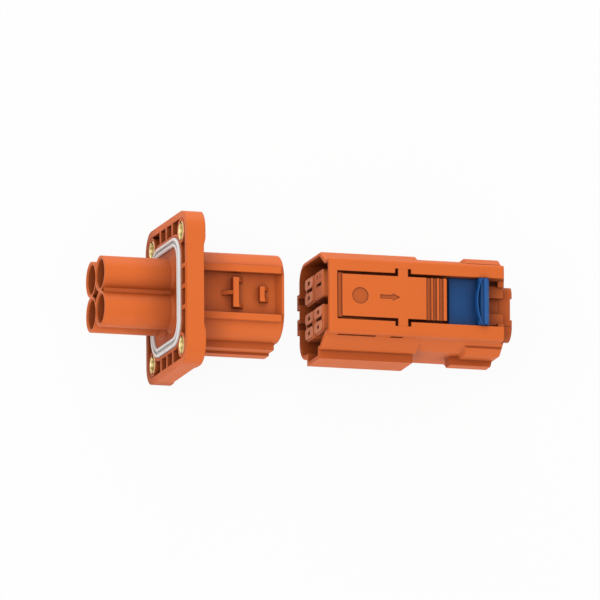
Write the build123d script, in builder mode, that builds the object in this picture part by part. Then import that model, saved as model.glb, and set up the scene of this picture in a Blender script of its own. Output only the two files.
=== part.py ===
from build123d import *
import os

# Four-pole battery connector: a panel receptacle and its cable plug, apart on one mating axis.
# X runs from the receptacle's cable tubes to the plug's cable end, and +Z is the latch side.
# The origin is the centre of the flange face that seats on the panel. Sizes are in millimetres.

# Terminal grid, shared by both halves
pitch_y = 15.45
pitch_z = 14.1
spots = [(side_y * pitch_y / 2, side_z * pitch_z / 2) for side_z in (1, -1) for side_y in (1, -1)]
blade_width = 7.0
blade_thickness = 1.0

# Clearances
seat_gap = 0.1
mating_gap = 0.3
slide_gap = 0.25

# How far a form that joins another runs into it
overlap = 1.0

# Plug body section across the mating axis, from which both halves take their outlines
body_half_width = 21.55
body_bottom = -21.65
body_corner_radius = 8.5
shoulder_low = 11.3
shoulder_high = 19.3
rear_shoulder = 12.5
tower_half_width = 16.7
tower_top = 26.3
tower_corner_radius = 1.6
plug_wall = 1.8
roof_thickness = 2.5
waist_inset = 1.3
waist_slope = 1.2
mating_corner_ease = 0.4

# Receptacle flange, how far it reaches beyond the gasket each way
flange_reach_y = 9.7
flange_reach_z = 9.25
flange_thickness = 7.8
flange_radius = 9.0
flange_rim = 3.0
corner_pad = 15.0
corner_pad_raise = 0.75
pad_slope = 3.0
bolt_edge_y = 8.7
bolt_edge_z = 9.25
limiter_diameter = 8.7
limiter_bore = 6.5
limiter_boss_diameter = 11.0
pocket_depth = 5.0
pocket_rib = 2.0
pocket_rib_pitch = 9.2

# Flange gasket, with its room round the tubes
gasket_room_y = 2.425
gasket_room_z = 1.65
gasket_band = 4.4
gasket_land = 1.35
gasket_radius = 11.0
gasket_groove = 2.2
gasket_proud = 1.0
gasket_bead = 1.7
gasket_edge = 0.35

# Receptacle cable tubes
tube_length = 32.1
tube_outer_radius = 7.9
tube_bore_radius = 6.3
tube_bore_depth = 16.0
tube_flare = 1.8
tube_flare_waist = 0.5
tube_rim = 0.6
throat_radius = 4.6
throat_end = 1.0

# Receptacle shroud
shroud_end = 48.05
shroud_rounding = 1.0
shroud_top = 19.0
shroud_wall = 2.2
cavity_floor = 4.0
cavity_top = 14.5
track_width = 18.2
track_floor = 16.0
rail_width = 3.1
rail_top = 20.0
rail_setback = 1.7
key_z_low = -7.5
key_z_high = 7.3
key_step_z = -0.5
key_depth = 2.9
key_step_depth = 3.95
rib_spacing = 11.0
rib_width = 2.4
rib_depth = 2.6
blade_boss_width = 10.6
blade_boss_thickness = 4.6
blade_boss_radius = 1.0
blade_boss_end = 8.0
blade_end = 38.0
blade_tip_length = 2.2
blade_tip_edge = 0.35
barrel_radius = 3.6
barrel_setback = 0.5
barrel_front = 3.0

# Catches on the latch track
catch_start = 24.5
catch_wall = 2.6
catch_height = 4.0
catch_width = 13.2
catch_arm = 1.8
catch_arm_length = 2.9
catch_root = 0.5
gusset_length = 4.7
gusset_thickness = 1.8
gusset_drop = 0.4
small_catch_start = 36.9
small_catch_wall = 2.2
small_catch_height = 2.7
small_catch_width = 6.8
small_catch_arm_length = 2.4

# Interlock pins beside the first pole
pin_offset_y = 3.65
pin_pitch = 4.4
pin_size = 0.9
pin_end = 30.0
pin_room = 0.2
pin_boss_radius = 0.6
pin_edge = 0.25

# Plug along the mating axis, from its mouth backwards
mouth_x = 66.2
sleeve_depth = 34.8
bulkhead_thickness = 2.0
front_section_length = 44.2
waist_length = 19.5
rear_section_length = 17.3
core_length = 33.0
cap_reach = 5.3
tower_setback = 2.0
end_rounding = 1.4
mouth_rounding = 0.9

# Silos and the bores behind them
silo_recess = 0.7
silo_length = 22.1
silo_width = 12.4
silo_height = 12.8
silo_radius = 1.8
silo_edge = 0.5
silo_wall_front = 1.6
blade_slot_side_room = 0.3
blade_slot_end_room = 0.4
socket_cavity_y = 4.0
socket_cavity_z = 9.6
socket_cavity_length = 30.5
wire_bore_radius = 4.6
seal_bore_radius = 5.8
seal_bore_depth = 12.0
test_hole_y = 1.8
test_hole_z = 4.0
test_hole_offset = 3.7
test_hole_depth = 4.0
barrel_gap = 0.4
seal_setback = 8.6
seal_length = 5.2
seal_thickness = 1.8

# Socket terminals, contact springs and the interlock bridge
box_room = 0.4
box_length = 25.1
box_inner_y = 2.4
box_side_room = 0.3
box_wall = 0.5
crimp_length = 14.0
crimp_wall = 1.0
crimp_solid = 2.0
neck_taper = 1.0
spring_thickness = 0.25
spring_contact_gap = 0.05
spring_front = 3.0
spring_rear = 6.0
bridge_socket = 1.9
bridge_hole = 1.2
bridge_length = 14.0
bridge_web = 1.5
bridge_room = 0.3

# Latch tower openings and the chamber for the lock slider
chamber_floor = 17.0
core_top = 15.4
web_opening_half_width = 12.75
web_slot_front = 1.3
web_slot_rear = 1.45
web_room = 1.2
runner_depth = 1.0
runner_height = 1.2
runner_z = 20.9
runner_run_out = 2.0
floor_cut_gap = 0.7
window_z = 19.6
window_height = 3.0
window_setback = 5.0
window_length = 17.3
small_window_setback = 28.9
small_window_length = 5.5
core_out_y = 12.9
core_out_width = 2.2
core_out_z = 18.6
core_out_height = 5.2
core_out_depth = 34.0

# Key channel and keyways on the plug
channel_setback = 1.9
channel_wall = 1.5
keyway_wall = 1.9

# Guide block on the key side of the rear section, and the crease along its shoulder
guide_lead = 3.2
guide_reach = 2.45
guide_slope = 0.6
guide_setback = 1.2
guide_low = -3.5
guide_high = 3.7
crease_offset = 1.6
crease_width = 0.9
crease_depth = 1.3

# Latch lever
lever_setback = 5.8
lever_front_gap = 2.2
lever_length = 47.3
lever_half_width = 9.3
lever_gap = 1.4
lever_thickness = 2.6
lever_tail_thickness = 2.0
lever_tail_length = 7.5
lever_tail_slope = 1.0
hook_length = 3.5
hook_half_width = 8.6
hook_chamfer = 1.0
catch_clearance = 0.25
web_setback = 25.3
web_length = 4.45
web_thickness = 2.2
grip_grooves = [(9.2, 2.2), (6.3, 1.8), (3.5, 2.0)]
grip_depth = 0.6
pad_setback = 8.2
pad_diameter = 7.3
mark_depth = 0.3
arrow_setback = 17.2
arrow_length = 9.0
arrow_shaft = 1.8
arrow_head = 3.3

# Lock slider
slider_setback = 1.75
slider_plate_length = 12.05
slider_lip_length = 5.4
slider_top = 22.3
slider_thickness = 2.0
slider_lip_top = 27.0
slider_lip_lean = 0.6
slider_lip_edge = 1.0
slider_edge = 0.5
slider_arm_half_width = 4.5
slider_arm_length = 29.2
slider_arm_bottom = 19.2
slider_arm_thickness = 1.7
runner_setback = 1.8
slider_travel = 5.5

# Rear cap and wire seals
cap_recess = 1.6
cap_half_width = 10.4
cap_half_height = 13.0
cap_corner_radius = 4.0
cap_notch_half_width = 4.8
cap_notch_depth = 0.8
cable_radius = 3.6
cable_slot_room = 0.5
wire_seal_length = 9.0
wire_seal_bore_radius = 2.4

# Distances that follow from the sizes above
shroud_inset = plug_wall + mating_gap
cavity_inset = shroud_inset + shroud_wall
barrel_inset = cavity_inset + barrel_gap
shroud_half_width = body_half_width - shroud_inset
shroud_bottom = body_bottom + shroud_inset
mating_top = shroud_top + shroud_inset

# The receptacle's top corners are rounded just enough to clear the slope of the plug's shoulder
shoulder_length = ((shoulder_high - shoulder_low) ** 2 + (body_half_width - tower_half_width) ** 2) ** 0.5
shoulder_y = (shoulder_high - shoulder_low) / shoulder_length
shoulder_z = (body_half_width - tower_half_width) / shoulder_length
mating_corner_radius = mating_corner_ease
mating_corner_radius += shoulder_z * (mating_top - shoulder_low) / (shoulder_y + shoulder_z - 1)

sleeve_half_width = body_half_width - plug_wall
sleeve_bottom = body_bottom + plug_wall
roof_underside = tower_top - roof_thickness
catch_top = track_floor + catch_height
hook_bottom = catch_top + catch_clearance
bulkhead_x = mouth_x + sleeve_depth
rear_cavity_x = bulkhead_x + bulkhead_thickness
front_section_end = mouth_x + front_section_length
waist_end = front_section_end + waist_length
body_end = waist_end + rear_section_length
waist_half_width = body_half_width - waist_inset
core_end = rear_cavity_x + core_length
cap_end = body_end + cap_reach
cable_slot = cable_radius + cable_slot_room
cap_flange_start = core_end + seat_gap
cap_flange_end = body_end - cap_recess
channel_end = front_section_end - channel_setback
silo_front_x = mouth_x + silo_recess
socket_cavity_x = silo_front_x + silo_wall_front
socket_cavity_end = socket_cavity_x + socket_cavity_length
barrel_start = silo_front_x + silo_length
seal_start = bulkhead_x - seal_setback
seal_bore_start = core_end - seal_bore_depth
lever_start = mouth_x + lever_setback
lever_end = lever_start + lever_length
web_start = lever_start + web_setback
slider_start = lever_end + slider_setback
slider_plate_end = slider_start + slider_plate_length
slider_end = slider_plate_end + slider_lip_length
chamber_half_width = lever_half_width + lever_gap
slider_half_width = chamber_half_width - slide_gap
pin_y = spots[0][0] + pin_offset_y
pin_z = spots[0][1]
limiter_length = flange_thickness + corner_pad_raise
tube_reach = tube_outer_radius + tube_flare
gasket_width = pitch_y + 2 * (tube_reach + gasket_room_y + gasket_band)
gasket_height = pitch_z + 2 * (tube_reach + gasket_room_z + gasket_band)
flange_width = gasket_width + 2 * flange_reach_y
flange_height = gasket_height + 2 * flange_reach_z
bolt_spacing_y = flange_width - 2 * bolt_edge_y
bolt_spacing_z = flange_height - 2 * bolt_edge_z

panel_side = Plane(origin=(0, 0, 0), x_dir=(0, 1, 0), z_dir=(-1, 0, 0))


def body_section(inset, top, half_width=body_half_width, shoulder=shoulder_low):
    """Outline of the plug body, drawn in by inset and cut off level at top."""
    low = (half_width, shoulder)
    high = (tower_half_width, shoulder_high)
    right = [(half_width, body_bottom), low, high, (tower_half_width, tower_top)]
    left = [(-y, z) for y, z in reversed(right)]
    radii = [body_corner_radius, tower_corner_radius, tower_corner_radius, tower_corner_radius]
    with BuildSketch() as section:
        with BuildLine():
            FilletPolyline(*right, *left, radius=radii + radii[::-1], close=True)
        make_face()
        if inset > 0:
            offset(amount=-inset, kind=Kind.INTERSECTION)
        with Locations((0, top)):
            Rectangle(4 * half_width, 4 * half_width, align=(Align.CENTER, Align.MIN), mode=Mode.SUBTRACT)
    return section.sketch


def mating_section(inset, top):
    """Outline of the room that the receptacle fills in the plug, drawn in by inset, cut off at top."""
    right = [(body_half_width, body_bottom), (body_half_width, mating_top)]
    left = [(-y, z) for y, z in reversed(right)]
    radii = [body_corner_radius, mating_corner_radius]
    with BuildSketch() as section:
        with BuildLine():
            FilletPolyline(*right, *left, radius=radii + radii[::-1], close=True)
        make_face()
        offset(amount=-inset, kind=Kind.INTERSECTION)
        with Locations((0, top)):
            Rectangle(
                4 * body_half_width,
                4 * body_half_width,
                align=(Align.CENTER, Align.MIN),
                mode=Mode.SUBTRACT,
            )
    return section.sketch


def block(x_range, y_range, z_range, mode):
    """Straight block between the given limits, added to or cut from the open part."""
    spans = [high - low for low, high in (x_range, y_range, z_range)]
    middle = [(low + high) / 2 for low, high in (x_range, y_range, z_range)]
    with Locations(tuple(middle)):
        Box(*spans, mode=mode)


# Receptacle housing
with BuildPart() as receptacle_housing:
    with BuildSketch(Plane.YZ):
        RectangleRounded(flange_width, flange_height, flange_radius)
    extrude(amount=flange_thickness)
    with BuildSketch(Plane.YZ.offset(flange_thickness)):
        RectangleRounded(flange_width, flange_height, flange_radius)
    extrude(amount=corner_pad_raise)
    for plane, side, reach in (
        (Plane.XY, flange_width, flange_height),
        (Plane.XZ, flange_height, flange_width),
    ):
        pad_edge = side / 2 - corner_pad
        with BuildSketch(plane):
            with BuildLine():
                Polyline(
                    (flange_thickness, pad_edge - pad_slope / 2),
                    (limiter_length, pad_edge + pad_slope / 2),
                    (limiter_length, -pad_edge - pad_slope / 2),
                    (flange_thickness, -pad_edge + pad_slope / 2),
                    close=True,
                )
            make_face()
        extrude(amount=reach, both=True, mode=Mode.SUBTRACT)

    # Shroud with the latch track between two rails, the stepped key and two lower ribs
    with BuildSketch(Plane.YZ.offset(flange_thickness)):
        add(mating_section(shroud_inset, shroud_top))
    extrude(amount=shroud_end - flange_thickness)
    fillet(receptacle_housing.faces().sort_by(Axis.X)[-1].edges(), shroud_rounding)
    with BuildSketch(Plane.YZ.offset(flange_thickness)):
        with Locations((0, rail_top)):
            Rectangle(track_width + 2 * rail_width, rail_top - track_floor, align=(Align.CENTER, Align.MAX))
        with Locations((-shroud_half_width + overlap, key_z_low)):
            Rectangle(key_depth + overlap, key_z_high - key_z_low, align=(Align.MAX, Align.MIN))
            Rectangle(key_step_depth + overlap, key_step_z - key_z_low, align=(Align.MAX, Align.MIN))
        with Locations((0, shroud_bottom + overlap)):
            with GridLocations(rib_spacing, 1, 2, 1):
                Rectangle(rib_width, rib_depth + overlap, align=(Align.CENTER, Align.MAX))
    extrude(amount=shroud_end - flange_thickness - rail_setback)
    block(
        (limiter_length, shroud_end),
        (-track_width / 2, track_width / 2),
        (track_floor, rail_top),
        Mode.SUBTRACT,
    )

    # Cavity, and the bosses that hold the blades and the interlock pins
    with BuildSketch(Plane.YZ.offset(cavity_floor)):
        add(mating_section(cavity_inset, cavity_top))
    extrude(amount=shroud_end - cavity_floor, mode=Mode.SUBTRACT)
    with BuildSketch(Plane.YZ.offset(cavity_floor)):
        with Locations(*spots):
            RectangleRounded(blade_boss_thickness, blade_boss_width, blade_boss_radius)
        with Locations((pin_y, pin_z)):
            RectangleRounded(3 * pin_size, pin_pitch + 3 * pin_size, pin_boss_radius)
    extrude(amount=blade_boss_end - cavity_floor)

    # Cable tubes with a flare at the flange
    with BuildSketch(panel_side):
        with Locations(*spots):
            Circle(tube_outer_radius)
    extrude(amount=tube_length)
    for y, z in spots:
        with BuildSketch(Plane.XZ.offset(-y)):
            with BuildLine():
                Polyline(
                    (0, z),
                    (0, z + tube_reach),
                    (-tube_flare_waist, z + tube_outer_radius + tube_flare_waist),
                    (-tube_flare, z + tube_outer_radius),
                    (-tube_flare, z),
                    close=True,
                )
            make_face()
        revolve(axis=Axis((0, y, z), (1, 0, 0)))
    with BuildSketch(panel_side.offset(tube_length)):
        with Locations(*spots):
            Circle(tube_bore_radius)
    extrude(amount=-tube_bore_depth, mode=Mode.SUBTRACT)
    tube_end = receptacle_housing.faces().sort_by(Axis.X)[0]
    chamfer(tube_end.edges().filter_by(lambda edge: edge.is_closed), tube_rim)
    with BuildSketch(panel_side.offset(tube_length)):
        with Locations(*spots):
            Circle(throat_radius)
    extrude(amount=-tube_length - throat_end, mode=Mode.SUBTRACT)
    with BuildSketch(Plane.YZ):
        with Locations(*spots):
            Rectangle(blade_thickness + 2 * seat_gap, blade_width + 2 * seat_gap)
        with Locations((pin_y, pin_z)):
            with GridLocations(1, pin_pitch, 1, 2):
                Rectangle(pin_size + 2 * seat_gap, pin_size + 2 * seat_gap)
    extrude(amount=blade_boss_end, mode=Mode.SUBTRACT)

    # Catches on the track: a ramped bracket with a gusset, and a smaller one
    with BuildSketch(Plane.XZ):
        with BuildLine():
            Polyline(
                (catch_start, track_floor - catch_root),
                (catch_start, catch_top),
                (catch_start + catch_wall, catch_top),
                (catch_start + catch_wall + catch_arm_length, track_floor),
                (catch_start + catch_wall + catch_arm_length, track_floor - catch_root),
                close=True,
            )
        make_face()
    extrude(amount=catch_width / 2, both=True)
    block(
        (catch_start + catch_wall, catch_start + catch_wall + catch_arm_length),
        (catch_arm - catch_width / 2, catch_width / 2 - catch_arm),
        (track_floor, catch_top),
        Mode.SUBTRACT,
    )
    with BuildSketch(Plane.XZ):
        with BuildLine():
            Polyline(
                (catch_start - gusset_length, track_floor - catch_root),
                (catch_start - gusset_length, track_floor),
                (catch_start, catch_top - gusset_drop),
                (catch_start, track_floor - catch_root),
                close=True,
            )
        make_face()
    extrude(amount=gusset_thickness / 2, both=True)
    with BuildSketch(Plane.XZ):
        with BuildLine():
            Polyline(
                (small_catch_start, track_floor - catch_root),
                (small_catch_start, track_floor + small_catch_height),
                (small_catch_start + small_catch_wall, track_floor + small_catch_height),
                (small_catch_start + small_catch_wall + small_catch_arm_length, track_floor),
                (small_catch_start + small_catch_wall + small_catch_arm_length, track_floor - catch_root),
                close=True,
            )
        make_face()
    extrude(amount=small_catch_width / 2, both=True)
    block(
        (small_catch_start + small_catch_wall, small_catch_start + small_catch_wall + small_catch_arm_length),
        (gusset_thickness - small_catch_width / 2, small_catch_width / 2 - gusset_thickness),
        (track_floor, track_floor + small_catch_height),
        Mode.SUBTRACT,
    )

    # Lightening pockets, gasket groove and limiter holes in the panel face
    with BuildSketch(Plane.YZ):
        RectangleRounded(
            flange_width - 2 * flange_rim, flange_height - 2 * flange_rim, flange_radius - flange_rim
        )
        RectangleRounded(
            gasket_width + 2 * gasket_land,
            gasket_height + 2 * gasket_land,
            gasket_radius + gasket_land,
            mode=Mode.SUBTRACT,
        )
        with GridLocations(bolt_spacing_y, bolt_spacing_z, 2, 2):
            Circle(limiter_boss_diameter / 2, mode=Mode.SUBTRACT)
        with GridLocations(flange_width, pocket_rib_pitch, 2, 3):
            Rectangle(flange_width / 2, pocket_rib, mode=Mode.SUBTRACT)
        with GridLocations(pocket_rib_pitch, flange_height, 3, 2):
            Rectangle(pocket_rib, flange_height / 2, mode=Mode.SUBTRACT)
    extrude(amount=pocket_depth, mode=Mode.SUBTRACT)
    with BuildSketch(Plane.YZ):
        RectangleRounded(gasket_width, gasket_height, gasket_radius)
        RectangleRounded(
            gasket_width - 2 * gasket_band,
            gasket_height - 2 * gasket_band,
            gasket_radius - gasket_band,
            mode=Mode.SUBTRACT,
        )
    extrude(amount=gasket_groove, mode=Mode.SUBTRACT)
    with BuildSketch(Plane.YZ):
        with GridLocations(bolt_spacing_y, bolt_spacing_z, 2, 2):
            Circle(limiter_diameter / 2)
    extrude(amount=limiter_length, mode=Mode.SUBTRACT)

receptacle_housing.part.label = "receptacle_housing"

# Flange gasket with two sealing beads
with BuildPart() as flange_gasket:
    with BuildSketch(panel_side.offset(-gasket_groove)):
        RectangleRounded(gasket_width - 2 * seat_gap, gasket_height - 2 * seat_gap, gasket_radius - seat_gap)
        RectangleRounded(
            gasket_width - 2 * gasket_band + 2 * seat_gap,
            gasket_height - 2 * gasket_band + 2 * seat_gap,
            gasket_radius - gasket_band + seat_gap,
            mode=Mode.SUBTRACT,
        )
    extrude(amount=gasket_groove + gasket_proud)
    with BuildSketch(panel_side.offset(gasket_proud)):
        RectangleRounded(
            gasket_width - 2 * gasket_bead, gasket_height - 2 * gasket_bead, gasket_radius - gasket_bead
        )
        RectangleRounded(
            gasket_width - 2 * (gasket_band - gasket_bead),
            gasket_height - 2 * (gasket_band - gasket_bead),
            gasket_radius - gasket_band + gasket_bead,
            mode=Mode.SUBTRACT,
        )
    extrude(amount=-gasket_proud, mode=Mode.SUBTRACT)
    chamfer(flange_gasket.faces().group_by(Axis.X)[0].edges(), gasket_edge)

flange_gasket.part.label = "flange_gasket"

# Compression limiters, the bushings that take the mounting bolts
limiters = []
for number, corner in enumerate(GridLocations(bolt_spacing_y, bolt_spacing_z, 2, 2).local_locations, 1):
    with BuildPart() as limiter:
        with BuildSketch(Plane.YZ):
            with Locations((corner.position.X, corner.position.Y)):
                Circle(limiter_diameter / 2 - seat_gap / 2)
                Circle(limiter_bore / 2, mode=Mode.SUBTRACT)
        extrude(amount=limiter_length)
    limiter.part.label = f"compression_limiter_{number}"
    limiters.append(limiter.part)

# Blade terminals with a crimp barrel in the tube, and their insulating tips
blades = []
tips = []
barrel_back = tube_length - tube_bore_depth - barrel_setback
for number, (y, z) in enumerate(spots, 1):
    with BuildPart() as blade:
        with BuildSketch(Plane.YZ.offset(-barrel_back)):
            with Locations((y, z)):
                Circle(barrel_radius)
        extrude(amount=barrel_back - barrel_front)
        with BuildSketch(Plane.YZ.offset(-barrel_back)):
            with Locations((y, z)):
                Circle(barrel_radius - crimp_wall)
        extrude(amount=barrel_back - barrel_front - crimp_solid, mode=Mode.SUBTRACT)
        block(
            (-barrel_front - crimp_solid / 2, blade_end),
            (y - blade_thickness / 2, y + blade_thickness / 2),
            (z - blade_width / 2, z + blade_width / 2),
            Mode.ADD,
        )
    blade.part.label = f"blade_terminal_{number}"
    blades.append(blade.part)

    with BuildPart() as tip:
        with BuildSketch(Plane.YZ.offset(blade_end)):
            with Locations((y, z)):
                Rectangle(blade_thickness, blade_width)
        extrude(amount=blade_tip_length)
        chamfer(tip.faces().sort_by(Axis.X)[-1].edges(), blade_tip_edge)
    tip.part.label = f"blade_tip_{number}"
    tips.append(tip.part)

# Interlock pins
pins = []
for number, side in enumerate((1, -1), 1):
    with BuildPart() as pin:
        with BuildSketch(Plane.YZ.offset(throat_end)):
            with Locations((pin_y, pin_z + side * pin_pitch / 2)):
                Rectangle(pin_size, pin_size)
        extrude(amount=pin_end - throat_end)
        chamfer(pin.faces().sort_by(Axis.X)[-1].edges(), pin_edge)
    pin.part.label = f"interlock_pin_{number}"
    pins.append(pin.part)

# Plug housing
with BuildPart() as plug_housing:
    with BuildSketch(Plane.YZ.offset(mouth_x)):
        add(body_section(0, 2 * tower_top))
    extrude(amount=front_section_length - waist_slope)
    fillet(plug_housing.faces().sort_by(Axis.X)[0].edges(), mouth_rounding)
    with BuildSketch(Plane.YZ.offset(front_section_end)):
        add(body_section(0, 2 * tower_top, waist_half_width))
    extrude(amount=waist_length)
    with BuildSketch(Plane.YZ.offset(waist_end + waist_slope)):
        add(body_section(0, 2 * tower_top, shoulder=rear_shoulder))
    extrude(amount=rear_section_length - waist_slope)
    fillet(plug_housing.faces().sort_by(Axis.X)[-1].edges(), end_rounding)
    block(
        (body_end - tower_setback, body_end),
        (-body_half_width, body_half_width),
        (shoulder_high, tower_top),
        Mode.SUBTRACT,
    )
    for waist_side, slope, shoulder in (
        (front_section_end, -waist_slope, shoulder_low),
        (waist_end, waist_slope, rear_shoulder),
    ):
        with BuildSketch(Plane.YZ.offset(waist_side)):
            add(body_section(0, 2 * tower_top, waist_half_width))
        with BuildSketch(Plane.YZ.offset(waist_side + slope)):
            add(body_section(0, 2 * tower_top, shoulder=shoulder))
        loft(ruled=True)

    # Guide block on the key side of the rear section
    guide_end = body_end - guide_setback
    with BuildSketch(Plane.XY.offset(guide_low)):
        with BuildLine():
            Polyline(
                (waist_end - guide_lead, overlap - waist_half_width),
                (waist_end - guide_lead, -waist_half_width),
                (waist_end - guide_lead + guide_slope, -body_half_width - guide_reach),
                (guide_end - guide_slope, -body_half_width - guide_reach),
                (guide_end, -body_half_width),
                (guide_end, overlap - waist_half_width),
                close=True,
            )
        make_face()
    extrude(amount=guide_high - guide_low)

    # Key channel and keyways for the receptacle's key and ribs
    with BuildSketch(Plane.YZ.offset(mouth_x)):
        with Locations((-sleeve_half_width + overlap, key_z_low - mating_gap - channel_wall)):
            Rectangle(
                key_step_depth + channel_wall + overlap,
                key_z_high - key_z_low + 2 * (mating_gap + channel_wall),
                align=(Align.MAX, Align.MIN),
            )
        with Locations((0, sleeve_bottom + overlap)):
            with GridLocations(rib_spacing, 1, 2, 1):
                Rectangle(
                    rib_width + 2 * (mating_gap + keyway_wall),
                    rib_depth + keyway_wall + overlap,
                    align=(Align.CENTER, Align.MAX),
                )
    extrude(amount=channel_end - mouth_x)

    # Sleeve cavity, bulkhead opening and rear cavity
    with BuildSketch(Plane.YZ.offset(mouth_x)):
        add(body_section(plug_wall, roof_underside))
        with Locations((-sleeve_half_width + overlap, key_z_low - mating_gap)):
            Rectangle(
                key_step_depth + overlap,
                key_z_high - key_z_low + 2 * mating_gap,
                align=(Align.MAX, Align.MIN),
            )
        with Locations((0, sleeve_bottom + overlap)):
            with GridLocations(rib_spacing, 1, 2, 1):
                Rectangle(rib_width + 2 * mating_gap, rib_depth + overlap, align=(Align.CENTER, Align.MAX))
    extrude(amount=bulkhead_x - mouth_x, mode=Mode.SUBTRACT)
    with BuildSketch(Plane.YZ.offset(bulkhead_x)):
        add(mating_section(barrel_inset - seat_gap, cavity_top - barrel_gap + seat_gap))
    extrude(amount=bulkhead_thickness, mode=Mode.SUBTRACT)
    with BuildSketch(Plane.YZ.offset(rear_cavity_x)):
        add(body_section(plug_wall, core_top + seat_gap))
    extrude(amount=body_end - rear_cavity_x, mode=Mode.SUBTRACT)

    # Chamber for the lock slider, lever opening and torsion web openings
    block(
        (bulkhead_x, body_end),
        (-chamber_half_width, chamber_half_width),
        (chamber_floor, tower_top),
        Mode.SUBTRACT,
    )
    block(
        (lever_start - lever_front_gap, bulkhead_x),
        (-chamber_half_width, chamber_half_width),
        (roof_underside, tower_top),
        Mode.SUBTRACT,
    )
    block(
        (web_start - web_slot_front, web_start + web_length + web_slot_rear),
        (-web_opening_half_width, web_opening_half_width),
        (tower_top - web_thickness - web_room, tower_top),
        Mode.SUBTRACT,
    )
    block(
        (slider_start - slider_travel - runner_run_out, body_end),
        (-chamber_half_width - runner_depth, chamber_half_width + runner_depth),
        (runner_z - runner_height / 2 - slide_gap, runner_z + runner_height / 2 + slide_gap),
        Mode.SUBTRACT,
    )
    block(
        (slider_end + floor_cut_gap, body_end),
        (-chamber_half_width, chamber_half_width),
        (core_top, chamber_floor),
        Mode.SUBTRACT,
    )

    # Side windows of the tower, core-outs beside the slider, and the shoulder creases of the rear section
    for window_start, window_span in (
        (mouth_x + window_setback, window_length),
        (mouth_x + small_window_setback, small_window_length),
    ):
        block(
            (window_start, window_start + window_span),
            (-tower_half_width, tower_half_width),
            (window_z, window_z + window_height),
            Mode.SUBTRACT,
        )
    crease_y = tower_half_width + crease_offset
    shoulder_fall = (shoulder_high - rear_shoulder) / (body_half_width - tower_half_width)
    crease_z = shoulder_high - crease_offset * shoulder_fall
    for side in (1, -1):
        block(
            (body_end - core_out_depth, body_end),
            sorted((side * core_out_y, side * (core_out_y + core_out_width))),
            (core_out_z, core_out_z + core_out_height),
            Mode.SUBTRACT,
        )
        block(
            (waist_end, body_end),
            sorted((side * (crease_y - crease_width / 2), side * (crease_y + crease_width / 2))),
            (crease_z - crease_depth / 2, crease_z + crease_depth / 2),
            Mode.SUBTRACT,
        )

plug_housing.part.label = "plug_housing"

# Inner housing with four silos, a seal barrel and the rear core
with BuildPart() as silo_housing:
    with BuildSketch(Plane.YZ.offset(silo_front_x)):
        with Locations(*spots):
            RectangleRounded(silo_width, silo_height, silo_radius)
    extrude(amount=barrel_start - silo_front_x)
    chamfer(silo_housing.faces().group_by(Axis.X)[0].edges(), silo_edge)
    with BuildSketch(Plane.YZ.offset(barrel_start)):
        add(mating_section(barrel_inset, cavity_top - barrel_gap))
    extrude(amount=rear_cavity_x - barrel_start)
    with BuildSketch(Plane.YZ.offset(rear_cavity_x)):
        add(body_section(plug_wall + seat_gap, core_top))
    extrude(amount=core_end - rear_cavity_x)
    with BuildSketch(Plane.YZ.offset(seal_start)):
        add(mating_section(barrel_inset, cavity_top - barrel_gap))
        add(
            mating_section(barrel_inset + seal_thickness, cavity_top - barrel_gap - seal_thickness),
            mode=Mode.SUBTRACT,
        )
    extrude(amount=seal_length, mode=Mode.SUBTRACT)

    # Blade slots, test holes, socket cavities and bores for wires and seals
    with BuildSketch(Plane.YZ.offset(silo_front_x)):
        with Locations(*spots):
            Rectangle(blade_thickness + 2 * blade_slot_side_room, blade_width + 2 * blade_slot_end_room)
    extrude(amount=silo_wall_front, mode=Mode.SUBTRACT)
    with BuildSketch(Plane.YZ.offset(silo_front_x)):
        with Locations(*spots[1:]):
            with GridLocations(2 * test_hole_offset, 1, 2, 1):
                Rectangle(test_hole_y, test_hole_z)
        with Locations((pin_y, pin_z)):
            with GridLocations(1, pin_pitch, 1, 2):
                Rectangle(2 * pin_size, pin_size + 2 * pin_room)
    extrude(amount=test_hole_depth, mode=Mode.SUBTRACT)
    with BuildSketch(Plane.YZ.offset(socket_cavity_x)):
        with Locations(*spots):
            Rectangle(socket_cavity_y, socket_cavity_z)
    extrude(amount=socket_cavity_length, mode=Mode.SUBTRACT)
    with BuildSketch(Plane.YZ.offset(socket_cavity_x)):
        with Locations((pin_y, pin_z)):
            Rectangle(bridge_socket + bridge_room, pin_pitch + bridge_socket + bridge_room)
    extrude(amount=box_room + bridge_length + bridge_web + bridge_room, mode=Mode.SUBTRACT)
    with BuildSketch(Plane.YZ.offset(socket_cavity_end)):
        with Locations(*spots):
            Circle(wire_bore_radius)
    extrude(amount=core_end - socket_cavity_end, mode=Mode.SUBTRACT)
    with BuildSketch(Plane.YZ.offset(seal_bore_start)):
        with Locations(*spots):
            Circle(seal_bore_radius)
    extrude(amount=core_end - seal_bore_start, mode=Mode.SUBTRACT)

silo_housing.part.label = "silo_housing"

# Interface seal round the barrel, which fills the gap to the receptacle's cavity
with BuildPart() as interface_seal:
    seal_inset = cavity_inset + slide_gap
    with BuildSketch(Plane.YZ.offset(seal_start + seat_gap)):
        add(mating_section(seal_inset, cavity_top - slide_gap))
        add(
            mating_section(
                barrel_inset + seal_thickness - seat_gap,
                cavity_top - barrel_gap - seal_thickness + seat_gap,
            ),
            mode=Mode.SUBTRACT,
        )
    extrude(amount=seal_length - 2 * seat_gap)

interface_seal.part.label = "interface_seal"

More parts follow.
